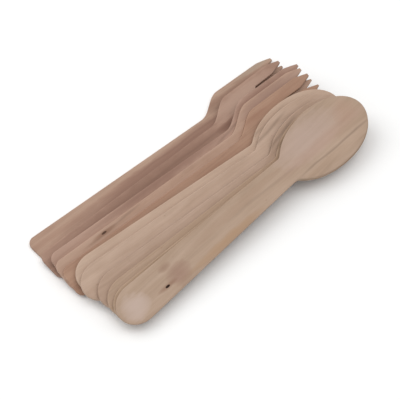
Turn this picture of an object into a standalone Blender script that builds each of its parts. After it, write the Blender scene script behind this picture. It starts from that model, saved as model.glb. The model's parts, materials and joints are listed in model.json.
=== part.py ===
"""A loose pack of one-piece wooden cutlery: five forks with six spoons fanned over them.

Each piece is stamped from one thin sheet of veneer. The bowls of the spoons are pressed into a
shallow dish and the heads of the forks are slotted into four tines. The lowest fork lies flat.
Every later piece lies a little further to the right, so it leans on the one before it with its
right edge at the table, as a slipped stack of cards does.

Frame: metres, +X along the handles towards the heads, +Y towards the lowest fork, +Z up, the
origin under the middle of the pack. A piece's own frame has its origin on its underside at mid
length, +X towards its head and +Z out of its upper face.
"""
import math

import bmesh
import bpy
import numpy as np
from mathutils import Matrix

# the sheet
LENGTH = 0.160
THICKNESS = 0.0016
GAP = 0.0003

# a fork, as half widths and distances from the handle's end
FORK_END = 0.0079
FORK_NECK = 0.0057
FORK_NECK_AT = 0.107
FORK_HEAD = 0.0140
FORK_SHOULDER = 0.0175
FORK_CORNER = 0.004
HEAD_TAPER = 0.006
TINE_TAPER_AT = 0.151
TINE_TIP = 0.0005
OUTER_TINE_SHORTER = 0.0008
SLOT_ROOT_AT = 0.140
SLOT_HALF = 0.00075
SLOT_PITCH = 0.0071

# a spoon, the same way
SPOON_END = 0.0092
SPOON_NECK = 0.0065
SPOON_NECK_AT = 0.112
SPOON_CORNER = 0.0115
BOWL_HALF = 0.0153
BOWL_AT = 0.1347
BOWL_BACK = 0.028
BOWL_POWER = 2.1
NECK_BLEND = 8

# the dish pressed into a bowl
DISH_DEPTH = 0.0014
DISH_HALF_LENGTH = 0.023
DISH_HALF_WIDTH = 0.014

# how the pieces lie: kind, slide along X, step across Y, turn in degrees
LOWEST_AT = (0.0694, 0.0591)
LAYOUT = [
    ("fork", 0.0004, 0.0000, 0.3),
    ("fork", -0.0009, -0.0088, 1.9),
    ("fork", 0.0007, -0.0159, 0.3),
    ("fork", -0.0003, -0.0199, 0.9),
    ("fork", -0.0001, -0.0247, 0.9),
    ("spoon", 0.0019, -0.0308, -1.2),
    ("spoon", 0.0006, -0.0352, -0.5),
    ("spoon", 0.0035, -0.0422, 0.6),
    ("spoon", 0.0040, -0.0466, 1.9),
    ("spoon", 0.0038, -0.0495, 3.1),
    ("spoon", 0.0034, -0.0506, 4.0),
]
STEEPEST_LEAN = math.radians(23)

# the wood of each kind: colour and roughness
WOOD = {"fork": ((0.36, 0.19, 0.11, 1.0), 0.62), "spoon": ((0.50, 0.34, 0.22, 1.0), 0.60)}


# ---------------------------------------------------------------- outlines
def fork_half(s):
    """Half width of a fork at distance s from the handle's end, its slots and points left out."""
    handle = FORK_END + (FORK_NECK - FORK_END) * np.clip(s / FORK_NECK_AT, 0, 1)
    inset = np.clip((FORK_CORNER - s) / FORK_CORNER, 0, 1)
    handle = handle - FORK_CORNER * (1 - np.sqrt(1 - inset ** 2))
    rise = np.clip((s - FORK_NECK_AT) / FORK_SHOULDER, 0, 1)
    rise = rise * rise * (3 - 2 * rise)
    widest_at = FORK_NECK_AT + FORK_SHOULDER
    return handle + (FORK_HEAD - FORK_NECK) * rise - HEAD_TAPER * np.clip(s - widest_at, 0, 1)


def spoon_half(s):
    """Half width of a spoon at distance s from the handle's end."""
    inset = np.clip((SPOON_CORNER - s) / SPOON_CORNER, 0, 1)
    handle = SPOON_END + (SPOON_NECK - SPOON_END) * np.clip(s / SPOON_NECK_AT, 0, 1)
    handle = handle * np.sqrt(1 - inset ** BOWL_POWER)
    reach = np.where(s > BOWL_AT, (s - BOWL_AT) / (LENGTH - BOWL_AT), (BOWL_AT - s) / BOWL_BACK)
    bowl = BOWL_HALF * np.sqrt(np.clip(1 - np.abs(reach) ** BOWL_POWER, 0, 1))
    blended = (handle ** NECK_BLEND + bowl ** NECK_BLEND) ** (1 / NECK_BLEND)
    return np.where(s > BOWL_AT, bowl, blended)


def spoon_dish(s, w):
    """Height of a spoon's pressed surface over the flat sheet, negative inside the bowl."""
    reach = ((s - BOWL_AT) / DISH_HALF_LENGTH) ** 2 + (w / DISH_HALF_WIDTH) ** 2
    return -DISH_DEPTH * np.clip(1 - reach, 0, 1) ** 2


def flat(s, w):
    """A fork is pressed flat."""
    return np.zeros_like(s)


HALF = {"fork": fork_half, "spoon": spoon_half}
DISH = {"fork": flat, "spoon": spoon_dish}


# ---------------------------------------------------------------- how the pieces come to lie
def samples(kind):
    """Points all over one piece: distance along, distance across and pressed height."""
    along = np.arange(0.0005, LENGTH, 0.0015)
    across = np.linspace(-1, 1, 15)
    s, part = np.meshgrid(along, across, indexing="ij")
    w = part * HALF[kind](s)
    return s.ravel(), w.ravel(), DISH[kind](s, w).ravel()


def turning(kind, lean, turn):
    """Rotation of a leaning piece. Its wide head lifts the front a little as it leans."""
    head = BOWL_HALF if kind == "spoon" else FORK_HEAD
    end = SPOON_END if kind == "spoon" else FORK_END
    nose_up = math.atan((head - end) * math.sin(lean) / (BOWL_AT - SPOON_END))
    return lean, -nose_up, turn


def matrix_of(angles):
    """The same rotation as a numpy matrix: turn first, then nose up, then lean."""
    lean, nose, turn = angles
    turned = Matrix.Rotation(lean, 3, "X") @ Matrix.Rotation(nose, 3, "Y")
    return np.array(turned @ Matrix.Rotation(turn, 3, "Z"))


def surface(piece, place, height):
    """A piece's sample points in the world, on its underside (0) or its upper face."""
    s, w, dish = samples(piece["kind"])
    points = np.stack([s - LENGTH / 2, w, dish + height])
    return (matrix_of(piece["angles"]) @ points).T + place


def over(points, piece, place):
    """Which of the points lie over or under a piece, in the piece's own frame."""
    local = (points - place) @ matrix_of(piece["angles"])
    s = local[:, 0] + LENGTH / 2
    inside = (s > 0) & (s < LENGTH)
    inside &= np.abs(local[:, 1]) <= HALF[piece["kind"]](np.clip(s, 0, LENGTH)) + 0.0002
    return s[inside], local[inside, 1], local[inside, 2]


def drop(piece, below):
    """Lower a piece until it meets the table or a piece below. Returns its height and the lift."""
    x, y = piece["xy"]
    table = -surface(piece, (0, 0, 0), 0)[:, 2].min()
    z = table
    for lower in below[-3:]:
        for _ in range(4):
            place = np.array([x, y, z])
            s, w, h = over(surface(piece, place, 0), lower, lower["place"])
            need = [0.0]
            if len(s):
                clear = h - THICKNESS - DISH[lower["kind"]](s, w)
                need.append((GAP - clear).max() / matrix_of(lower["angles"])[2, 2])
            s, w, h = over(surface(lower, lower["place"], THICKNESS), piece, place)
            if len(s):
                clear = DISH[piece["kind"]](s, w) - h
                need.append((GAP - clear).max() / matrix_of(piece["angles"])[2, 2])
            z += max(need)
    return z, z - table


def lay(kind, xy, turn, below):
    """Lean a piece over until its right edge is down at the table, or as far as it will go."""
    piece = {"kind": kind, "xy": xy}
    least, most = (below[-1]["lean"], STEEPEST_LEAN) if below else (0.0, 0.0)
    for _ in range(9):
        lean = (least + most) / 2
        piece["angles"] = turning(kind, lean, turn)
        if drop(piece, below)[1] > 0.00002:
            least = lean
        else:
            most = lean
    piece["lean"] = most
    piece["angles"] = turning(kind, most, turn)
    piece["place"] = np.array([*xy, drop(piece, below)[0]])
    return piece


# ---------------------------------------------------------------- the solids
def fork_side():
    """One side of a fork's outline, from the middle of its end round to the middle tine."""
    corner = [FORK_CORNER * (1 - math.cos(math.radians(a))) for a in (0, 30, 60, 90)]
    shoulder = [FORK_NECK_AT + FORK_SHOULDER * k / 6 for k in range(7)]
    edge = [(s, float(fork_half(np.array(s)))) for s in corner + shoulder + [TINE_TAPER_AT]]
    inner_tine = (SLOT_HALF, SLOT_PITCH - SLOT_HALF, LENGTH)
    outer_tine = (SLOT_PITCH + SLOT_HALF, edge[-1][1], LENGTH - OUTER_TINE_SHORTER)
    points = edge[:-1]
    for inside, outside, tip_at in (outer_tine, inner_tine):
        middle = (inside + outside) / 2
        points += [(TINE_TAPER_AT, outside), (tip_at - TINE_TIP, middle + 2 * TINE_TIP)]
        points += [(tip_at, middle + TINE_TIP), (tip_at, middle - TINE_TIP)]
        points += [(tip_at - TINE_TIP, middle - 2 * TINE_TIP), (TINE_TAPER_AT, inside)]
        points += [(SLOT_ROOT_AT, inside)]
        if inside > SLOT_PITCH:
            points += [(SLOT_ROOT_AT - SLOT_HALF, SLOT_PITCH)]
    return points + [(SLOT_ROOT_AT - SLOT_HALF, 0.0)]


def fork_mesh():
    """A fork's outline as a filled flat curve with the sheet's thickness, turned into a mesh."""
    side = fork_side()
    other = [(s, -w) for s, w in reversed(side[:-1])]
    curve = bpy.data.curves.new("fork_outline", "CURVE")
    curve.dimensions = "2D"
    curve.fill_mode = "BOTH"
    curve.extrude = THICKNESS / 2
    spline = curve.splines.new("POLY")
    spline.points.add(len(side) + len(other) - 1)
    for point, (s, w) in zip(spline.points, side + other):
        point.co = (s - LENGTH / 2, w, 0, 1)
    spline.use_cyclic_u = True
    outline = bpy.data.objects.new("fork_outline", curve)
    bpy.context.scene.collection.objects.link(outline)
    bpy.context.view_layer.update()
    mesh = bpy.data.meshes.new_from_object(outline.evaluated_get(bpy.context.evaluated_depsgraph_get()))
    bpy.data.objects.remove(outline)
    bm = bmesh.new()
    bm.from_mesh(mesh)
    bmesh.ops.remove_doubles(bm, verts=bm.verts, dist=0.00001)
    bmesh.ops.translate(bm, verts=bm.verts, vec=(0, 0, THICKNESS / 2))
    bmesh.ops.recalc_face_normals(bm, faces=bm.faces)
    bm.to_mesh(mesh)
    bm.free()
    return mesh


def spoon_mesh():
    """Half of a spoon's upper face: a grid drawn in to the outline and pressed into the dish."""
    end = [SPOON_CORNER * (1 - math.cos(math.radians(a))) for a in (12, 30, 50, 70, 90)]
    neck = [0.060, 0.100, 0.1045, 0.1075, 0.110]
    back = [BOWL_AT - BOWL_BACK * k for k in (0.72, 0.56, 0.38, 0.2)]
    front = [BOWL_AT + (LENGTH - BOWL_AT) * math.sin(math.radians(a)) for a in (0, 16, 33, 49, 63, 75, 83)]
    along = end + neck + back + front
    across = (0, 0.5, 0.85, 1)
    bm = bmesh.new()
    bmesh.ops.create_grid(bm, x_segments=len(along) - 1, y_segments=len(across) - 1, size=1)
    for vert in bm.verts:
        column = round((vert.co.x + 1) / 2 * (len(along) - 1))
        row = round((vert.co.y + 1) / 2 * (len(across) - 1))
        s = np.array(along[column])
        w = across[row] * spoon_half(s)
        vert.co = (s - LENGTH / 2, w, THICKNESS + spoon_dish(s, w))
    mesh = bpy.data.meshes.new("spoon")
    bm.to_mesh(mesh)
    bm.free()
    return mesh


def finish_spoon(spoon):
    """Mirror the half to a whole face and give it the sheet's thickness, downwards."""
    mirror = spoon.modifiers.new("other half", "MIRROR")
    mirror.use_axis = (False, True, False)
    mirror.merge_threshold = 0.00001
    sheet = spoon.modifiers.new("sheet", "SOLIDIFY")
    sheet.thickness = THICKNESS
    sheet.offset = -1


def wood_of(kind):
    """The plain colour of one kind's wood."""
    colour, roughness = WOOD[kind]
    material = bpy.data.materials.new("birch_" + kind)
    material.use_nodes = True
    shader = material.node_tree.nodes["Principled BSDF"]
    shader.inputs["Base Color"].default_value = colour
    shader.inputs["Roughness"].default_value = roughness
    shader.inputs["Metallic"].default_value = 0.0
    return material


# ---------------------------------------------------------------- the pack
def lay_all():
    """Lay the pieces one after another, each on the ones before it."""
    laid = []
    for kind, slide, step, turn in LAYOUT:
        xy = (LOWEST_AT[0] + slide, LOWEST_AT[1] + step)
        laid.append(lay(kind, xy, math.radians(turn), laid))
    return laid


def middle_of(laid):
    """The middle of the ground that the whole pack covers."""
    points = [surface(piece, piece["place"], h) for piece in laid for h in (0, THICKNESS)]
    points = np.concatenate(points)
    return (points.min(axis=0) + points.max(axis=0)) / 2


def main():
    for thing in list(bpy.data.objects):
        bpy.data.objects.remove(thing)
    pack = bpy.data.collections.new("wooden_cutlery_pack")
    bpy.context.scene.collection.children.link(pack)
    meshes = {"fork": fork_mesh(), "spoon": spoon_mesh()}
    for kind, mesh in meshes.items():
        mesh.materials.clear()
        mesh.materials.append(wood_of(kind))
    laid = lay_all()
    centre = middle_of(laid)
    ground = bpy.data.objects.new("ground_centre", None)
    ground.location = (-centre[0], -centre[1], 0)
    pack.objects.link(ground)
    count = {"fork": 0, "spoon": 0}
    for piece in laid:
        kind = piece["kind"]
        count[kind] += 1
        item = bpy.data.objects.new(f"{kind}_{count[kind]}", meshes[kind])
        item.parent = ground
        item.location = piece["place"]
        item.rotation_mode = "ZYX"
        item.rotation_euler = piece["angles"]
        pack.objects.link(item)
        if kind == "spoon":
            finish_spoon(item)


main()
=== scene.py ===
# %% [markdown]
# # A pack of wooden forks and spoons
#
# This lesson dresses eleven pieces of one-piece wooden cutlery that have slipped sideways on a
# table like a stack of cards: five forks with four tines, and six spoons with a shallow dish.
# Real ones are stamped from rotary-cut birch veneer about 1.6 mm thick, steamed, pressed and
# tumbled, so they have a soft edge, a lengthwise grain, small brown flecks and the odd knot.
#
# The frame holds the eleven plain solids. Everything here is built round them, in metres.

# %% Load the frame
import math
import json

import bmesh
import bpy
import numpy as np
from mathutils import Matrix, Vector

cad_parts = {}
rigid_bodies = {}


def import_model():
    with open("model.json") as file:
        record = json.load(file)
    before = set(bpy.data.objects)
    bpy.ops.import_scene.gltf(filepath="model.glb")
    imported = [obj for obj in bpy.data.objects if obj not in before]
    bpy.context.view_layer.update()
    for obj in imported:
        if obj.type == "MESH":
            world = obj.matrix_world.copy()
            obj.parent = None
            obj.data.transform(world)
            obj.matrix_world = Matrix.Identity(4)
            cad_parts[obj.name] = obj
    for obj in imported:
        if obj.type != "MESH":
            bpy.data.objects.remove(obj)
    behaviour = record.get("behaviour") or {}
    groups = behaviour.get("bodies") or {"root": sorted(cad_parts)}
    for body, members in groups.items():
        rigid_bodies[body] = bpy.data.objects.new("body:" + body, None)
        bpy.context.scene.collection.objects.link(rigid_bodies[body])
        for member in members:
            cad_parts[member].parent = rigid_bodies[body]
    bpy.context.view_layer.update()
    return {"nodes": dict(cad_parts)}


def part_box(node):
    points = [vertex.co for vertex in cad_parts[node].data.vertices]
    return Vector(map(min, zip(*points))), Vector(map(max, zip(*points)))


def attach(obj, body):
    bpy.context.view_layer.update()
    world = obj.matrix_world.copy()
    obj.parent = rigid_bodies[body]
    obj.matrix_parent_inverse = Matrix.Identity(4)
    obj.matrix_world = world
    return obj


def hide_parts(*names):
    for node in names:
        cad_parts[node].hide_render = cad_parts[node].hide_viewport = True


for leftover in list(bpy.data.objects):
    bpy.data.objects.remove(leftover)
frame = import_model()
NODES = frame["nodes"]
print("nodes:", sorted(NODES))

# %% [markdown]
# ## Where each piece lies
#
# A finished piece has its place in its mesh, so we need the placing that carries a blank from
# its own flat bench position to its spot in the pack. The solid of each node already lies there,
# and the placing can be read back from it. The big flat face of the handle gives the direction
# that the piece faces. The direction in which its points spread most is its length.
# Reading it back is safer than repeating the numbers of the layout, because the looks then
# follow the solids whenever the layout changes.

# %% Read a piece's placing back from its solid
HANDLE_PART = 0.55
HANDLE_REACH = 0.09
FACE_ALIGNED = 0.98


def merged_copy(node):
    """A node's corners, and its triangles' normals, areas and middles, doubled corners merged."""
    work = bmesh.new()
    work.from_mesh(NODES[node].data)
    bmesh.ops.remove_doubles(work, verts=work.verts, dist=1e-6)
    bmesh.ops.triangulate(work, faces=work.faces)
    corners = np.array([v.co for v in work.verts])
    normals = np.array([f.normal for f in work.faces])
    areas = np.array([f.calc_area() for f in work.faces])
    middles = np.array([f.calc_center_median() for f in work.faces])
    work.free()
    return corners, normals, areas, middles


def placing_of(node):
    """Matrix from the piece's bench frame: x towards the head, z out of the face, origin on the
    underside at mid length."""
    corners, normals, areas, middles = merged_copy(node)
    spread = np.linalg.svd(corners - corners.mean(0), full_matrices=False)[2]
    along = spread[0] * np.sign(spread[0][0])
    reach = middles @ along
    on_handle = reach < reach.min() + HANDLE_PART * np.ptp(reach)
    up = np.zeros(3)
    for normal, area, here in zip(normals, areas, on_handle):
        if here and abs(normal @ spread[2]) > FACE_ALIGNED:
            up += area * normal * np.sign(normal[2])
    up /= np.linalg.norm(up)
    along = along - up * (along @ up)
    along /= np.linalg.norm(along)
    left = np.cross(up, along)
    local = corners @ np.stack([along, left, up], axis=1)
    handle = local[local[:, 0] < local[:, 0].min() + HANDLE_REACH]
    origin = (along * (local[:, 0].min() + local[:, 0].max()) / 2
              + left * (handle[:, 1].min() + handle[:, 1].max()) / 2 + up * handle[:, 2].min())
    placing = np.eye(4)
    placing[:3, :3] = np.stack([along, left, up], axis=1)
    placing[:3, 3] = origin
    size = [round(1000 * float(v), 2) for v in np.ptp(local, axis=0)]
    print(node, "length, width, height in mm:", size)
    return Matrix(placing.tolist())


PLACING = {node: placing_of(node) for node in sorted(NODES)}

# %% [markdown]
# ## A small writer for node trees
#
# Geometry trees and material trees are both made of linked nodes, and a rule such as
# "half width = end + (neck - end) * way along" takes a dozen of them. Adding nodes one by one
# hides the rule. So a field here is a thin wrapper round an output: adding or multiplying two
# fields adds the Math node that does it, and the rule can be written as it reads on paper.

# %% Fields that write their own Math nodes
class Field:
    """One output of a tree. Arithmetic on it adds Math nodes."""

    def __init__(self, tree, socket):
        self.tree, self.socket = tree, socket

    def math(self, operation, *others):
        return self.tree.math(operation, self, *others)

    def __add__(self, other):
        return self.math("ADD", other)

    def __radd__(self, other):
        return self.math("ADD", other)

    def __sub__(self, other):
        return self.math("SUBTRACT", other)

    def __rsub__(self, other):
        return self.tree.math("SUBTRACT", other, self)

    def __mul__(self, other):
        return self.math("MULTIPLY", other)

    def __rmul__(self, other):
        return self.math("MULTIPLY", other)

    def __truediv__(self, other):
        return self.math("DIVIDE", other)

    def __pow__(self, power):
        return self.math("POWER", power)

    def clip(self, low=0.0, high=1.0):
        return self.math("MAXIMUM", low).math("MINIMUM", high)

    def above(self, edge):
        return self.math("GREATER_THAN", edge)

    def choose(self, where_one, where_zero):
        """This field is 0 or 1 and picks one of two others."""
        return where_zero + self * (where_one - where_zero)


class Tree:
    """Adds nodes to a geometry tree or a material tree."""

    def __init__(self, tree):
        self.tree = tree

    def node(self, kind, inputs=(), **settings):
        made = self.tree.nodes.new(kind)
        for name, value in settings.items():
            setattr(made, name, value)
        for key, value in dict(inputs).items():
            self.feed(made.inputs[key], value)
        return made

    def feed(self, socket, value):
        if isinstance(value, Field):
            self.tree.links.new(value.socket, socket)
        elif isinstance(value, bpy.types.NodeSocket):
            self.tree.links.new(value, socket)
        else:
            socket.default_value = value

    def out(self, kind, output, inputs=(), **settings):
        return Field(self, self.node(kind, inputs, **settings).outputs[output])

    def math(self, operation, *values):
        return self.out("ShaderNodeMath", 0, enumerate(values), operation=operation)

    def vector(self, x, y, z):
        return self.out("ShaderNodeCombineXYZ", 0, enumerate((x, y, z)))

    def noise(self, at, detail=2.0, roughness=0.5):
        return self.out("ShaderNodeTexNoise", 0,
                        {"Vector": at, "Scale": 1.0, "Detail": detail, "Roughness": roughness})

    def lay_out(self):
        """Spreads the nodes over the editor, so that the tree can be opened and read."""
        for count, made in enumerate(self.tree.nodes):
            made.location = (180 * (count // 6), -160 * (count % 6))


# %% [markdown]
# ## One blank, pressed from the sheet
#
# A piece of this cutlery is one sheet of veneer with a cut outline. It could be drawn as a
# curve and extruded, but then its face is a single flat polygon that can't be dished, eased at
# the edge or dented. So each blank starts as a grid of rows along the grain and lanes across
# it. A rule moves the grid's points onto the outline, and Geometry Nodes evaluate that rule.
#
# The sizes are the tree's inputs, so the same tree makes every spoon. `eased` packs the rows and
# lanes closer where an edge is, because that is where the round of the edge needs points.

# %% Sizes of the sheet, in metres
MM = 0.001
LENGTH = 160 * MM
SHEET = 1.6 * MM
EDGE_ROUND = 0.38 * MM
WORN_OFF = 0.03 * MM
print("sheet thickness in mm:", SHEET / MM)


# %% Inputs of a tree, and the easing of rows and lanes
def new_shape_tree(name, sizes):
    """A geometry tree with one named input for each size, and its inputs as fields."""
    group = bpy.data.node_groups.new(name, "GeometryNodeTree")
    sockets = group.interface
    sockets.new_socket("Geometry", in_out="OUTPUT", socket_type="NodeSocketGeometry")
    sockets.new_socket("Geometry", in_out="INPUT", socket_type="NodeSocketGeometry")
    for label in sizes:
        kind = "NodeSocketInt" if label == "Seed" else "NodeSocketFloat"
        sockets.new_socket(label, in_out="INPUT", socket_type=kind)
    sockets.new_socket("Wood", in_out="INPUT", socket_type="NodeSocketMaterial")
    tree = Tree(group)
    entry = tree.node("NodeGroupInput")
    fields = {label: Field(tree, entry.outputs[label]) for label in [*sizes, "Wood"]}
    return tree, fields


def eased(part):
    """Runs from 0 to 1 as its input does, with steps ten times closer at both ends."""
    turn = 2 * math.pi
    return part - 0.9 / turn * (part * turn).math("SINE")


def stored(tree, mesh, name, value, kind, chosen=True):
    return tree.out("GeometryNodeStoreNamedAttribute", 0,
                    {"Geometry": mesh, "Selection": chosen, "Name": name, "Value": value},
                    data_type=kind, domain="POINT")


def read_back(tree, name):
    return tree.out("GeometryNodeInputNamedAttribute", 0, {"Name": name}, data_type="FLOAT")


def grid_parts(tree, rows, lanes):
    """A grid, and how far along and across it each point is, from 0 to 1."""
    grid = tree.node("GeometryNodeMeshGrid", {"Size X": 1.0, "Size Y": 1.0,
                                              "Vertices X": rows + 1, "Vertices Y": lanes + 1})
    at = tree.node("ShaderNodeSeparateXYZ", {0: tree.out("GeometryNodeInputPosition", 0)})
    mesh = grid.outputs["Mesh"]
    for name, axis in (("row", "X"), ("lane", "Y")):
        mesh = stored(tree, mesh, name, Field(tree, at.outputs[axis]) + 0.5, "FLOAT")
    return mesh, read_back(tree, "row"), read_back(tree, "lane")


def ragged_edge(tree, s, lane, size):
    """How far the stamp's torn fibres let the edge fall short, different along each edge."""
    torn = tree.noise(tree.vector(s * 700, lane * 9, size["Seed"]), detail=3.0)
    return torn * size["Ragged edge"]


# %% [markdown]
# ## From flat outline to a solid sheet
#
# The flat outline gets its body in four moves. First the tree measures how far each point is
# from the cut edge. Then it stores where on the sheet the point is, for the wood grain to
# follow. Then it makes the lower face and extrudes it to the upper face. Last it turns the
# lower face round so that it looks down. The distance to the edge rounds both faces off, which
# is what tumbling the cut pieces in a drum does. A Bevel modifier would do it too, but it
# stops at the shortest edge in the mesh, and the rows are very close together at the ends.

# %% Give the flat outline its thickness
SEAM_REACH = 0.5e-6


def boundary_distance(tree, flat):
    """How far each point of a flat mesh is from its outline."""
    faces = tree.node("GeometryNodeInputMeshEdgeNeighbors").outputs[0]
    lone = tree.node("FunctionNodeCompare", {2: faces, 3: 1}, data_type="INT", operation="EQUAL")
    outline = tree.node("GeometryNodeSeparateGeometry",
                        {"Geometry": flat, "Selection": lone.outputs[0]}, domain="EDGE")
    near = tree.node("GeometryNodeProximity", {"Geometry": outline.outputs[0]},
                     target_element="EDGES")
    return Field(tree, near.outputs["Distance"])


def moved(tree, mesh, position, chosen=True):
    return tree.out("GeometryNodeSetPosition", 0,
                    {"Geometry": mesh, "Selection": chosen, "Position": position})


def thickened(tree, flat, size, dish):
    """The closed, round-edged solid of a flat outline that lies in XY, x from -L/2 to L/2."""
    rim = boundary_distance(tree, flat)
    flat = stored(tree, flat, "rim", rim, "FLOAT")
    rim = read_back(tree, "rim")
    at = tree.node("ShaderNodeSeparateXYZ", {0: tree.out("GeometryNodeInputPosition", 0)})
    x, y = Field(tree, at.outputs["X"]), Field(tree, at.outputs["Y"])
    radius = size["Edge round"]
    inside = (radius - rim).math("MAXIMUM", 0.0)
    drop = radius - (radius * radius - inside * inside).math("MAXIMUM", 0.0).math("SQRT")
    ridges = tree.noise(tree.vector(x * 45, y * 900, size["Seed"] * 7.3), detail=3.0)
    relief = ridges * size["Grain relief"]
    pressed = dish(tree, x + size["Length"] * 0.5, y, size)
    low = moved(tree, flat, tree.vector(x, y, drop + relief + pressed))
    low = stored(tree, low, "sheet", tree.vector(x, y, 0.0), "FLOAT_VECTOR")
    thickness = size["Thickness"]
    raised = tree.node("GeometryNodeExtrudeMesh",
                       {"Mesh": low, "Offset": tree.vector(0.0, 0.0, thickness),
                        "Individual": False}, mode="FACES")
    top = moved(tree, raised.outputs["Mesh"],
                tree.vector(x, y, thickness - drop - relief + pressed), raised.outputs["Top"])
    top = stored(tree, top, "sheet", tree.vector(x, y, thickness), "FLOAT_VECTOR",
                 raised.outputs["Top"])
    under = tree.out("GeometryNodeFlipFaces", 0, {"Mesh": low})
    both = tree.node("GeometryNodeJoinGeometry")
    for part in (under, top):
        tree.feed(both.inputs[0], part)
    closed = tree.out("GeometryNodeMergeByDistance", 0,
                      {"Geometry": both.outputs[0], "Distance": SEAM_REACH})
    smooth = tree.out("GeometryNodeSetShadeSmooth", 0, {"Geometry": closed})
    finish_tree(tree, smooth, size["Wood"])


def finish_tree(tree, mesh, wood):
    """Realize Instances and Set Material close every tree, because an export drops instances."""
    real = tree.out("GeometryNodeRealizeInstances", 0, {"Geometry": mesh})
    painted = tree.out("GeometryNodeSetMaterial", 0, {"Geometry": real, "Material": wood})
    tree.feed(tree.node("NodeGroupOutput").inputs[0], painted)
    tree.lay_out()


# %% [markdown]
# ## The spoon
#
# A spoon's handle tapers from its rounded end to the neck, and the bowl is a slightly squared
# ellipse that is longer behind its widest place than in front of it. Where the two meet, the
# stamp leaves a soft inner corner. Taking the larger of the two half widths would leave a sharp
# one. A high power mean, (a^8 + b^8)^(1/8), follows the larger of the two and rounds the corner.
#
# The dish is a smooth dip that starts flat at the bowl's rim and is deepest in the middle.
# WORN_OFF, END_MARGIN and ENDS_WORN keep the worn piece just inside the solid that it replaces.

# %% The spoon's rule
SPOON = {
    "Length": LENGTH,
    "Thickness": SHEET,
    "Edge round": EDGE_ROUND,
    "Grain relief": 0.02 * MM,
    "Ragged edge": 0.05 * MM,
    "Handle end": 9.2 * MM - WORN_OFF,
    "Neck": 6.5 * MM - WORN_OFF,
    "Neck at": 112 * MM,
    "End corner": 11.5 * MM,
    "Bowl": 15.3 * MM - WORN_OFF,
    "Bowl at": 134.7 * MM,
    "Bowl back": 28 * MM,
    "Dish depth": 1.4 * MM,
    "Dish length": 23 * MM,
    "Dish width": 14 * MM,
    "Seed": 1,
}
BOWL_POWER = 2.1
NECK_BLEND = 8
SPOON_ROWS = 210
SPOON_LANES = 48
END_MARGIN = 0.25 * MM
ENDS_WORN = 0.9972


def spoon_half(s, size):
    """Half width of a spoon at distance s from the handle's end."""
    inset = ((size["End corner"] - s) / size["End corner"]).clip()
    way = (s / size["Neck at"]).clip()
    handle = size["Handle end"] + (size["Neck"] - size["Handle end"]) * way
    handle = handle * (1 - inset ** BOWL_POWER).math("SQRT")
    ahead = (s - size["Bowl at"]) / (size["Length"] - size["Bowl at"])
    behind = (size["Bowl at"] - s) / size["Bowl back"]
    reach = ahead.math("MAXIMUM", behind).clip()
    bowl = size["Bowl"] * (1 - reach ** BOWL_POWER).math("SQRT")
    blended = (handle ** NECK_BLEND + bowl ** NECK_BLEND) ** (1 / NECK_BLEND)
    return s.above(size["Bowl at"]).choose(bowl, blended)


def spoon_dish(tree, s, w, size):
    """How far the press moved the sheet, negative inside the bowl."""
    along = (s - size["Bowl at"]) / size["Dish length"]
    across = w / size["Dish width"]
    inside = (1 - along * along - across * across).clip()
    return inside * inside * size["Dish depth"] * -1


def spoon_tree():
    tree, size = new_shape_tree("press a spoon", SPOON)
    mesh, row, lane = grid_parts(tree, SPOON_ROWS, SPOON_LANES)
    s = eased(row) * size["Length"]
    half = spoon_half(s, size)
    half = (half - ragged_edge(tree, s, lane, size)).math("MAXIMUM", END_MARGIN)
    w = (eased(lane) * 2 - 1) * half
    x = (s - size["Length"] * 0.5) * ENDS_WORN
    flat = moved(tree, mesh, tree.vector(x, w, 0.0))
    thickened(tree, flat, size, spoon_dish)
    return tree.tree


print("spoon grid:", SPOON_ROWS, "rows by", SPOON_LANES, "lanes")

# %% [markdown]
# ## The fork
#
# A fork's head swells from the neck over a smooth shoulder and is cut into four tines by three
# slots. The lanes are shared out so that each slot has lanes of its own: sixteen to a tine and
# the slot beside it. The tree deletes the slot's faces past its root, bends the rows there into
# a half round, and draws every tine's lanes together towards its point.

# %% The fork's rule
FORK = {
    "Length": LENGTH,
    "Thickness": SHEET,
    "Edge round": EDGE_ROUND,
    "Grain relief": 0.02 * MM,
    "Ragged edge": 0.05 * MM,
    "Handle end": 7.9 * MM - WORN_OFF,
    "Neck": 5.7 * MM - WORN_OFF,
    "Neck at": 107 * MM,
    "End corner": 4 * MM,
    "Head": 14.0 * MM - WORN_OFF,
    "Shoulder": 17.5 * MM,
    "Head taper": 0.006,
    "Slot root": 140.0 * MM,
    "Slot half": 0.75 * MM,
    "Slot pitch": 7.1 * MM,
    "Tine taper at": 151 * MM,
    "Outer shorter": 0.8 * MM,
    "Seed": 1,
}
TINE_LANES = 12
SLOT_LANES = 4
TINES = 4
FORK_LANES = TINES * (TINE_LANES + SLOT_LANES) - SLOT_LANES
HANDLE_ROWS = 150
TINE_ROWS = 34
TIP_LEFT = 0.16
ROOT_REACH = 3 * MM


def fork_half(s, size):
    """Half width of a fork at distance s from the handle's end, slots left out."""
    way = (s / size["Neck at"]).clip()
    handle = size["Handle end"] + (size["Neck"] - size["Handle end"]) * way
    inset = ((size["End corner"] - s) / size["End corner"]).clip()
    handle = handle - size["End corner"] * (1 - (1 - inset * inset).math("SQRT"))
    rise = ((s - size["Neck at"]) / size["Shoulder"]).clip()
    rise = rise * rise * (3 - 2 * rise)
    past = (s - size["Neck at"] - size["Shoulder"]).math("MAXIMUM", 0.0)
    return handle + (size["Head"] - size["Neck"]) * rise - size["Head taper"] * past


def flat_press(tree, s, w, size):
    """A fork is pressed flat. It takes the same inputs as spoon_dish."""
    return s * 0.0


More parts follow.
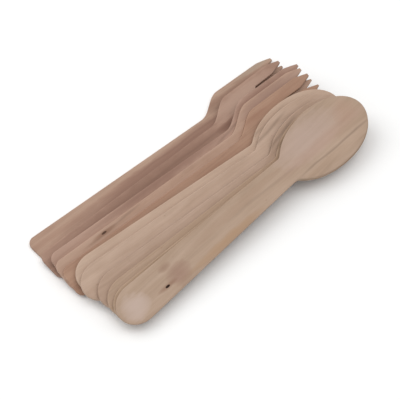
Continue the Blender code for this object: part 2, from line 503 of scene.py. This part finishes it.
def fork_lane(lane, size):
    """Where a lane lies across the head, the centre of its tine, and its place in the slot."""
    count = lane * FORK_LANES
    tine = ((count + 0.001) / (TINE_LANES + SLOT_LANES)).math("FLOOR")
    step = count - tine * (TINE_LANES + SLOT_LANES)
    pitch, slot = size["Slot pitch"], size["Slot half"]
    left = (tine - 2) * pitch + slot
    on_tine = left + eased((step / TINE_LANES).clip()) * (pitch - 2 * slot)
    in_slot = ((step - TINE_LANES) / SLOT_LANES).clip()
    return on_tine + in_slot * slot * 2, (tine - 1.5) * pitch, tine, in_slot


def fork_tree():
    tree, size = new_shape_tree("press a fork", FORK)
    mesh, row, lane = grid_parts(tree, HANDLE_ROWS + TINE_ROWS, FORK_LANES)
    root = size["Slot root"]
    split = HANDLE_ROWS / (HANDLE_ROWS + TINE_ROWS)
    behind = eased((row / split).clip()) * root
    ahead = 1 - (1 - ((row - split) / (1 - split)).clip()) ** 1.6
    across, centre, tine, in_slot = fork_lane(lane, size)
    outer = (tine - 1.5).math("ABSOLUTE").above(1)
    tine_length = size["Length"] - root - size["Outer shorter"] * outer
    s = behind + ahead * tine_length
    # the slot's half-round root, drawn back over the rows behind it
    bulge = size["Slot half"] * (1 - (in_slot * 2 - 1) ** 2).math("MAXIMUM", 0.0).math("SQRT")
    s = s - bulge * (1 - (root - s) / ROOT_REACH).clip() * in_slot.above(0.01)
    # the tines draw in to their points
    past = ((s - size["Tine taper at"]) / (size["Length"] - size["Tine taper at"])).clip()
    width_left = 1 - (1 - TIP_LEFT) * past ** 1.25
    across = centre + (across - centre) * width_left
    half = fork_half(s, size) - ragged_edge(tree, s, lane, size)
    w = across / (2 * size["Slot pitch"] - size["Slot half"]) * half
    flat = moved(tree, mesh, tree.vector(s - size["Length"] * 0.5, w, 0.0))
    cut_away = in_slot.above(0.01) * row.above(split)
    flat = tree.out("GeometryNodeDeleteGeometry", 0,
                    {"Geometry": flat, "Selection": cut_away}, domain="FACE")
    thickened(tree, flat, size, flat_press)
    return tree.tree


print("fork grid:", HANDLE_ROWS + TINE_ROWS, "rows by", FORK_LANES, "lanes")

# %% [markdown]
# ## From tree to finished mesh
#
# A Geometry Nodes modifier is live: it is worked out again whenever the scene changes. A piece
# that is handed on should be a plain mesh instead. So each blank is evaluated once, the result
# is kept as a mesh, and the mesh is carried to its place in the pack. The object itself stays at
# the origin, unturned, because the place is in the mesh.

# %% Make a piece
def socket_named(group, label):
    """A modifier's input is set by its socket's identifier, not by its name."""
    for item in group.interface.items_tree:
        if item.item_type == "SOCKET" and item.in_out == "INPUT" and item.name == label:
            return item.identifier
    raise KeyError(label)


def pressed_piece(name, group, sizes, wood, placing):
    """Evaluates a shape tree and returns its mesh as an object that lies in the pack."""
    blank = bpy.data.objects.new(name + "_blank", bpy.data.meshes.new(name + "_blank"))
    bpy.context.scene.collection.objects.link(blank)
    press = blank.modifiers.new("Press", "NODES")
    press.node_group = group
    for label, value in sizes.items():
        press[socket_named(group, label)] = value
    press[socket_named(group, "Wood")] = wood
    graph = bpy.context.evaluated_depsgraph_get()
    mesh = bpy.data.meshes.new_from_object(blank.evaluated_get(graph), depsgraph=graph)
    bpy.data.objects.remove(blank)
    mesh.name = name
    mesh.transform(placing)
    piece = bpy.data.objects.new(name, mesh)
    bpy.context.scene.collection.objects.link(piece)
    return piece


def check_closed(piece):
    """Prints the piece's size and whether each edge has two faces."""
    work = bmesh.new()
    work.from_mesh(piece.data)
    open_edges = sum(1 for e in work.edges if len(e.link_faces) != 2)
    volume = work.calc_volume(signed=True)
    triangles = sum(len(f.verts) - 2 for f in work.faces)
    work.free()
    print(piece.name, "triangles:", triangles, "open edges:", open_edges,
          "volume in cubic mm:", round(volume / MM ** 3, 1))


# %% [markdown]
# ## The wood
#
# The veneer is peeled from a turning log, so a piece shows a flat-sawn figure: broad wavy bands
# where the knife ran along a growth ring, thin darker ring lines, and very fine fibres along the
# grain. Birch adds short brown flecks and, now and then, a knot with the grain drawn round it.
#
# An image of wood would repeat and would need unwrapping. A procedural wood reads the attribute
# `sheet`, which the tree stored: how far along and across the sheet each point is, in metres.
# The grain then follows each piece however it lies, and a seed makes every piece different.

# %% Where on the sheet a point is, and how to mix a colour there
def sheet_place(tree):
    """Distance along, across and up the sheet, and in from its cut edge, in millimetres."""
    sheet = tree.node("ShaderNodeAttribute", attribute_name="sheet").outputs["Vector"]
    parts = tree.node("ShaderNodeSeparateXYZ", {0: sheet})
    s = (Field(tree, parts.outputs["X"]) + LENGTH / 2) * (1 / MM)
    w = Field(tree, parts.outputs["Y"]) * (1 / MM)
    z = Field(tree, parts.outputs["Z"]) * (1 / MM)
    rim = Field(tree, tree.node("ShaderNodeAttribute", attribute_name="rim").outputs["Fac"])
    return s, w, z, rim * (1 / MM)


def stretched(noise, low, gain):
    """A noise keeps near its middle, so it is widened until it reaches both 0 and 1."""
    return ((noise - low) * gain).clip()


def rgba(red, green, blue):
    return (red, green, blue, 1.0)


def mixed(tree, how_much, below, above):
    """Mixes two colours. A plain tuple is used as it is."""
    made = tree.node("ShaderNodeMix", {"Factor": how_much, 6: below, 7: above},
                     data_type="RGBA", blend_type="MIX")
    return Field(tree, made.outputs[2])


# %% [markdown]
# ## Figure and grain
#
# The figure is what the eye reads from afar: bands, ring lines and clouds some millimetres wide
# and many times longer. The grain is what it reads close up: fibres, streaks and pores a tenth
# of a millimetre wide. Each is a noise whose lengths along and across the sheet differ, so one
# division per direction sets its scale. Both are cheap, and both stay sharp at any distance.

# %% Figure and grain
RING_PITCH = 6.5


def knot_pull(s, w, knots):
    """Draws the grain lines apart round each knot, as they grow round a branch."""
    pulled = w
    for at_s, at_w, length, width in knots:
        along = (s - at_s) / (length * 2.6)
        across = w - at_w
        near = (1 - along * along - (across / (width * 3.5)) ** 2).clip()
        pulled = pulled - near * near * (across / (width * 2)).clip(-1, 1) * width * 0.8
    return pulled


def log_figure(tree, s, w, z, seed, wander, knots):
    """Broad bands, thin late-wood lines and soft clouds, and the sway that lines share."""
    drift = tree.noise(tree.vector(s / 60, w / 20, seed), detail=2.0) - 0.5
    sway = tree.noise(tree.vector(s / 19, w / 9, seed + 4), detail=1.0) - 0.5
    ring_at = knot_pull(s, w, knots) + drift * wander + sway * wander * 0.12 + z * 0.25
    width = tree.noise(tree.vector(s / 160, ring_at / 6.0, seed + 9), detail=2.0)
    late = (ring_at / RING_PITCH + width * 2.0).math("FRACT") ** 7.0
    bands = tree.noise(tree.vector(s / 90, ring_at / 3.4, seed + 2), detail=3.0, roughness=0.55)
    cloud = tree.noise(tree.vector(s / 21, w / 10, seed + 17), detail=3.0, roughness=0.6)
    return stretched(bands, 0.34, 2.9), late, stretched(cloud, 0.35, 3.0), sway


def fine_grain(tree, s, w, z, seed):
    """Fibres, streaks and pores, each much shorter across the grain than along it."""
    fibre = tree.noise(tree.vector(s / 6, w / 0.16, z / 0.2 + seed), detail=3.0, roughness=0.65)
    streak = tree.noise(tree.vector(s / 24, w / 0.7, z / 0.8 + seed), detail=2.0)
    pore = tree.noise(tree.vector(s / 1.3, w / 0.11, z / 0.11 + seed), detail=1.0)
    return fibre, stretched(streak, 0.35, 3.0), stretched(pore, 0.66, 9)


# %% [markdown]
# ## Marks that one piece has and the next does not
#
# A stain, a dark line or a knot is an accident of one spot of the log. Some listed lines and
# stains are painted shadows instead, laid where the piece above shades this one. Noise could
# scatter such marks, but then nobody chooses where they fall. So each piece lists its own: an
# ellipse for a stain, two ends for a line, a place and a size for a knot. Flecks are many and
# small, and a Voronoi pattern scatters those: each cell draws lots, and the few that win get a
# fleck.

# %% Marks
FLECK = (0.20, 0.085, 0.035)
FLECKLESS = 0.83
KNOT_HALO = (0.20, 0.090, 0.045)
KNOT_HEART = (0.022, 0.008, 0.004)


def spot(s, w, at_s, at_w, length, width, wobble):
    """1 in the middle of an ellipse on the sheet, 0 outside it."""
    along = (s - at_s + wobble) / length
    across = (w - at_w + wobble) / width
    return (1 - along * along - across * across).clip()


def long_line(s, w, start, end, breadth, sway):
    """1 along a line on the sheet that sways a little and fades out at both ends."""
    (from_s, from_w), (to_s, to_w) = start, end
    way = ((s - from_s) / (to_s - from_s)).clip()
    middle = from_w + way * (to_w - from_w) + sway * 3
    beside = (w - middle).math("ABSOLUTE") / breadth
    return (1 - beside).clip() * (way * (1 - way) * 6).clip()


def flecked(tree, colour, s, w, seed):
    cell = tree.node("ShaderNodeTexVoronoi",
                     {"Vector": tree.vector(s / 7.5, w / 1.9, seed), "Scale": 1.0})
    lot = tree.node("ShaderNodeSeparateColor", {0: cell.outputs["Color"]}).outputs[0]
    fleck = (1 - Field(tree, cell.outputs["Distance"]) * 9).clip()
    fleck = fleck * Field(tree, lot).above(FLECKLESS)
    return mixed(tree, fleck * 0.5, colour, rgba(*FLECK))


def marked(tree, colour, s, w, sway, dark, seed, long_lines, stains_and_shadows, knots, dark_heart):
    """The colour with this piece's own marks and painted shadows, and how deep the knots' hearts
    are pitted.
    """
    # some long lines are painted shadows beside the edge of the piece above
    for start, end, breadth, strength in long_lines:
        here = long_line(s, w, start, end, breadth, sway)
        colour = mixed(tree, here * strength, colour, dark)
    blur = (tree.noise(tree.vector(s / 5, w / 2.2, seed + 31), detail=3.0) - 0.5) * 6
    # some stains are patches of painted shade from the piece above
    for at_s, at_w, length, breadth, shade, strength in stains_and_shadows:
        here = spot(s, w, at_s, at_w, length, breadth, blur * (breadth / 8))
        colour = mixed(tree, here ** 0.8 * strength, colour, rgba(*shade))
    pit = s * 0.0
    for at_s, at_w, length, breadth in knots:
        halo = spot(s, w, at_s, at_w, length * 2.4, breadth * 1.1, blur * 0.14)
        colour = mixed(tree, halo * 0.55, colour, rgba(*KNOT_HALO))
        core = (spot(s, w, at_s, at_w, length / 2, breadth / 2, blur * 0.08) * 2.5).clip()
        colour = mixed(tree, core * dark_heart, colour, rgba(*KNOT_HEART))
        pit = pit.math("MAXIMUM", core)
    return colour, pit


# %% [markdown]
# ## The whole birch
#
# The layers go on in this order: the log's own colours, its fibres and pores, the marks of the
# spot it was peeled from, among them some painted shadows of the pieces above, then the cut edge
# and side walls darkened, partly as the drum's wear and partly as painted shade, and last a
# broad darker band in patches near the edge. The same fields that tint the wood also drive its
# roughness and its bump, so a pore is dark, dull and sunken in the same place.

# %% The birch material
DARKER = 0.62
RIM_TONE = 0.12
# how far in from the cut edge the darkening reaches that is partly the drum's wear and partly
# painted shade on the edge and side walls
WORN_AND_SHADED_REACH = 0.55
# how far in from the cut edge the broad darker band reaches
NEAR_EDGE_REACH = 2.4


def birch(name, pale, tan, seed, lines=0.35, wander=9.0, haze=0.3, knots=(), stains_and_shadows=(),
          long_lines=(), dark_heart=1.0):
    """Wood that follows the piece's own sheet. Colours are linear, places are in millimetres."""
    wood = bpy.data.materials.new(name)
    wood.use_nodes = True
    wood.node_tree.nodes.clear()
    tree = Tree(wood.node_tree)
    s, w, z, rim = sheet_place(tree)
    bands, late, cloud, sway = log_figure(tree, s, w, z, seed, wander, knots)
    fibre, streak, pore = fine_grain(tree, s, w, z, seed)
    dark = rgba(*(DARKER * v for v in tan))

    colour = mixed(tree, bands * (1 - haze) + cloud * haze, rgba(*pale), rgba(*tan))
    colour = mixed(tree, late * lines * cloud.math("MAXIMUM", 0.35), colour, dark)
    colour = mixed(tree, streak * 0.13, colour, dark)
    colour = mixed(tree, stretched(fibre, 0.5, 2.2) * 0.28, colour, dark)
    colour = mixed(tree, pore * 0.22, colour, dark)
    colour = flecked(tree, colour, s, w, seed)
    colour, pit = marked(tree, colour, s, w, sway, dark, seed, long_lines, stains_and_shadows, knots,
                         dark_heart)
    # painted shade and wear: the cut edge and its side walls are darker, partly rubbed by the
    # drum and partly shade painted where walls and contacts fall in shade
    worn_and_shaded_edge = (1 - rim / WORN_AND_SHADED_REACH).clip()
    colour = mixed(tree, worn_and_shaded_edge ** 2.0 * RIM_TONE, colour, dark)
    # darker in cloudy patches within a few millimetres of the cut edge
    near_edge_dark = (1 - rim / NEAR_EDGE_REACH).clip() * cloud
    colour = mixed(tree, near_edge_dark * 0.10, colour, dark)

    height = fibre * 0.5 + streak * 0.35 - late * 0.3 - pore * 0.6 - pit * 1.2
    bump = tree.node("ShaderNodeBump", {"Height": height, "Strength": 0.55,
                                        "Distance": 0.04 * MM})
    gloss = 0.52 + fibre * 0.14 + pore * 0.10 + worn_and_shaded_edge * 0.05 + pit * 0.3
    shader = tree.node("ShaderNodeBsdfPrincipled",
                       {"Base Color": colour, "Roughness": gloss, "Normal": bump.outputs[0],
                        "Specular IOR Level": 0.32})
    result = tree.node("ShaderNodeOutputMaterial", {0: shader.outputs[0]})
    result.is_active_output = True
    tree.lay_out()
    return wood


# %% [markdown]
# ## Every piece and its own wood
#
# Pieces from one box never match: veneer from the outside of the log is pale, and from near its
# heart it is redder. Each piece has its own pair of colours, the pale ground and the tan figure,
# and some have marks. Some of these marks are painted shadows: dark lines and patches laid where
# the piece above shades this one. A place is millimetres along from the handle's end and across
# to the left. A knot is (along, across, length, breadth). A stain or patch of painted shade is
# (along, across, half length, half breadth, colour, strength). A long line is (start, end, half
# breadth, strength).

# %% Colours and marks
RED_BROWN = (0.235, 0.125, 0.088)
WOODS = {
    "fork_1": dict(pale=(0.45, 0.305, 0.225), tan=(0.33, 0.195, 0.137), lines=0.3, wander=5,
                   stains_and_shadows=[(95, 0.8, 56, 3.6, RED_BROWN, 0.72),
                           (52, -0.6, 44, 4.4, RED_BROWN, 0.62),
                           # this stain is painted shadow of fork_2's raised left edge on this
                           # head
                           (132, 8.4, 30, 3.4, (0.25, 0.145, 0.10), 0.85),
                           (150, 12.5, 16, 2.0, (0.36, 0.28, 0.21), 0.6)],
                   long_lines=[((30, -1.5), (120, 0.5), 1.6, 0.4),
                               # this line and the next are painted shadow along fork_2's raised
                               # left edge
                               ((56, 2.0), (122, 2.3), 1.1, 0.7),
                               ((112, 5.4), (156, 8.6), 1.6, 1.0)]),
    "fork_2": dict(pale=(0.395, 0.245, 0.18), tan=(0.30, 0.175, 0.125), lines=0.3, wander=4,
                   # the first stain is painted shade from fork_3's raised edge, darkening this
                   # handle
                   stains_and_shadows=[(56, 0.5, 66, 9.0, (0.215, 0.115, 0.078), 0.8),
                           (132, 8.0, 24, 6.0, (0.44, 0.295, 0.225), 0.8),
                           (115, 1.2, 9, 2.4, (0.20, 0.10, 0.068), 0.8)],
                   long_lines=[((60, 2.5), (112, 1.5), 1.0, 0.5),
                               ((116, 2.2), (154, 3.6), 1.6, 0.8)]),
    "fork_3": dict(pale=(0.49, 0.325, 0.25), tan=(0.355, 0.215, 0.158), lines=0.3, wander=4,
                   stains_and_shadows=[(134, 9, 26, 6, RED_BROWN, 0.75),
                           (70, 5.6, 42, 3.0, RED_BROWN, 0.75)],
                   long_lines=[((96, 3.0), (128, 8.0), 1.2, 0.6)]),
    "fork_4": dict(pale=(0.50, 0.34, 0.255), tan=(0.385, 0.235, 0.165), wander=5,
                   knots=[(28, 5.2, 3.2, 1.1)], dark_heart=0.75,
                   stains_and_shadows=[(138, 9.5, 24, 4.5, (0.27, 0.16, 0.125), 0.7)],
                   long_lines=[((14, 4.6), (52, 5.4), 0.9, 0.5)]),
    "fork_5": dict(pale=(0.44, 0.275, 0.19), tan=(0.33, 0.18, 0.118), wander=4),
    # on spoon_1 to spoon_5 the long line from about (98, 6) to (135, 14) is painted shadow beside
    # the left edge of the spoon above
    "spoon_1": dict(pale=(0.545, 0.40, 0.305), tan=(0.46, 0.32, 0.235), wander=14, lines=0.12,
                    haze=0.5, long_lines=[((98, 6.5), (136, 14.0), 1.0, 0.45)]),
    "spoon_2": dict(pale=(0.525, 0.38, 0.29), tan=(0.43, 0.295, 0.215), wander=16, lines=0.12,
                    haze=0.5, long_lines=[((98, 6.0), (134, 13.6), 1.2, 0.7)]),
    "spoon_3": dict(pale=(0.48, 0.34, 0.26), tan=(0.38, 0.255, 0.18), wander=12, lines=0.15,
                    haze=0.5, long_lines=[((98, 6.2), (134, 13.8), 1.1, 0.7)]),
    "spoon_4": dict(pale=(0.46, 0.325, 0.24), tan=(0.36, 0.24, 0.155), wander=10,
                    long_lines=[((98, 6.2), (134, 14.0), 1.1, 0.7)]),
    "spoon_5": dict(pale=(0.45, 0.32, 0.23), tan=(0.36, 0.24, 0.155), wander=10,
                    long_lines=[((98, 6.2), (134, 14.0), 1.1, 0.7)]),
    "spoon_6": dict(pale=(0.465, 0.335, 0.25), tan=(0.385, 0.265, 0.185), lines=0.25,
                    knots=[(26.0, -3.3, 2.8, 1.2)],
                    stains_and_shadows=[(9.0, -0.5, 8.0, 6.5, (0.52, 0.40, 0.34), 0.8),
                            (34, -2.5, 7, 5.5, (0.27, 0.145, 0.105), 0.55),
                            (30.5, 3.9, 4, 1.8, (0.25, 0.14, 0.09), 0.5),
                            (62, -5.5, 26, 2.2, (0.38, 0.225, 0.12), 0.6),
                            (74, 2.5, 34, 2.6, (0.32, 0.20, 0.13), 0.4),
                            (126, 5, 24, 10, (0.50, 0.37, 0.315), 0.6),
                            (132, -1.0, 34, 3.4, (0.42, 0.27, 0.205), 0.45),
                            (150, 3.5, 7, 6, (0.42, 0.26, 0.19), 0.4)],
                    long_lines=[((108, -6.2), (159, -7.6), 0.7, 0.7),
                                ((66, 0.5), (118, -1.5), 0.9, 0.3)]),
}
print("pieces with a knot:", [node for node, wood in WOODS.items() if "knots" in wood])

# %% [markdown]
# ## Press the blanks
#
# The solids keep 0.3 mm clear of one another, but real pieces touch, and that gap would show as
# a bright slit from the side. Moving a piece would close one gap and open the next. Instead each
# piece that has another on top of it is made a little thicker, upwards, and almost fills the gap
# over it. The topmost piece keeps the sheet's own thickness, so the pack gets no taller.

# %% Press the blanks and put them in place
TOP_PIECE = max(NODES, key=lambda node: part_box(node)[1].z)
CONTACT = 0.26 * MM
TREES = {"fork": fork_tree(), "spoon": spoon_tree()}
SIZES = {"fork": FORK, "spoon": SPOON}
pieces = {}
for number, node in enumerate(sorted(NODES)):
    kind = node.split("_")[0]
    wood = birch(node + "_birch", seed=11.0 * number + 3.7, **WOODS[node])
    sizes = dict(SIZES[kind], Seed=number + 1)
    if node != TOP_PIECE:
        sizes["Thickness"] = SHEET + CONTACT
    piece = pressed_piece(node + "_wood", TREES[kind], sizes, wood, PLACING[node])
    check_closed(piece)
    pieces[node] = piece
print("topmost piece:", TOP_PIECE)

# %% [markdown]
# ## Each piece takes its solid's place
#
# The solids stay in the model for collision. A finished piece stands for its own node and moves
# with the same body.

# %% Tie the pieces to the frame
for node, piece in pieces.items():
    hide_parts(node)
    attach(piece, "root")
print("pieces tied to the frame:", len(pieces))

# %% [markdown]
# ## The floor
#
# The floor is a plain pale plane, much wider than the pack so that no edge of it shows. It could
# lie exactly at the height that the pack rests on, but two surfaces in one plane flicker, so it
# lies a tenth of a millimetre lower. It is stage scenery and not part of the object.

# %% Floor
FLOOR_DROP = 0.1 * MM


def pale_floor():
    surface = bpy.data.materials.new("pale_floor")
    surface.use_nodes = True
    shader = surface.node_tree.nodes["Principled BSDF"]
    shader.inputs["Base Color"].default_value = (0.93, 0.93, 0.925, 1)
    shader.inputs["Roughness"].default_value = 0.8
    bpy.ops.mesh.primitive_plane_add(size=6, location=(0, 0, 0))
    floor = bpy.context.object
    floor.name = "floor"
    floor.data.transform(Matrix.Translation((0, 0, -FLOOR_DROP)))
    floor.data.materials.append(surface)


pale_floor()
print("floor drop in mm:", round(FLOOR_DROP / MM, 3))

# %% [markdown]
# ## Light
#
# Two large lamps give soft shading: one from the forks' side, like a window, which lights the
# edges that lean towards it, and one overhead. A bright even world fills the gaps between the
# pieces. A single small lamp would model the shapes more, but with hard dark shadows. The
# Standard view transform keeps the floor white, where a filmic one would grey it.

# %% Light
def soft_lamp(name, place, aim, size, power):
    lamp = bpy.data.lights.new(name, "AREA")
    lamp.size = size
    lamp.energy = power
    holder = bpy.data.objects.new(name, lamp)
    holder.location = place
    holder.rotation_euler = (Vector(aim) - Vector(place)).to_track_quat("-Z", "Y").to_euler()
    bpy.context.scene.collection.objects.link(holder)


soft_lamp("window", place=(-0.35, 0.55, 0.85), aim=(0, 0, 0), size=0.9, power=4.6)
soft_lamp("overhead", place=(0.1, -0.2, 1.0), aim=(0, 0, 0), size=0.7, power=2.4)
world = bpy.data.worlds.new("soft_room")
world.use_nodes = True
world.node_tree.nodes["Background"].inputs["Color"].default_value = (1, 1, 1, 1)
world.node_tree.nodes["Background"].inputs["Strength"].default_value = 0.68
bpy.context.scene.world = world
bpy.context.scene.view_settings.view_transform = "Standard"

# %% [markdown]
# ## Camera
#
# The camera looks down steeply along the pack from the handles' side. It is placed by
# what is set on a tripod: how far round and how high it stands, how far off, what it aims at.
# A long lens from a good distance keeps the handles and heads nearly the same size.

# %% Camera
TURNED = math.radians(-42.3)
RAISED = math.radians(54.9)
DISTANCE = 0.650
AIMED_AT = Vector((-6.94, -4.64, 2.39)) * MM
towards = Vector((math.sin(TURNED) * math.cos(RAISED), -math.cos(TURNED) * math.cos(RAISED),
                  math.sin(RAISED)))
sideways = Vector((math.cos(TURNED), math.sin(TURNED), 0))
upwards = towards.cross(sideways)
lens = bpy.data.cameras.new("camera")
lens.sensor_width = 36
lens.lens = 125.6
lens.clip_start = 0.01
camera = bpy.data.objects.new("camera", lens)
camera.matrix_world = (Matrix.Translation(AIMED_AT + towards * DISTANCE)
                       @ Matrix((sideways, upwards, towards)).transposed().to_4x4())
bpy.context.scene.collection.objects.link(camera)
bpy.context.scene.camera = camera
print("camera at, in m:", [round(v, 3) for v in camera.matrix_world.translation])
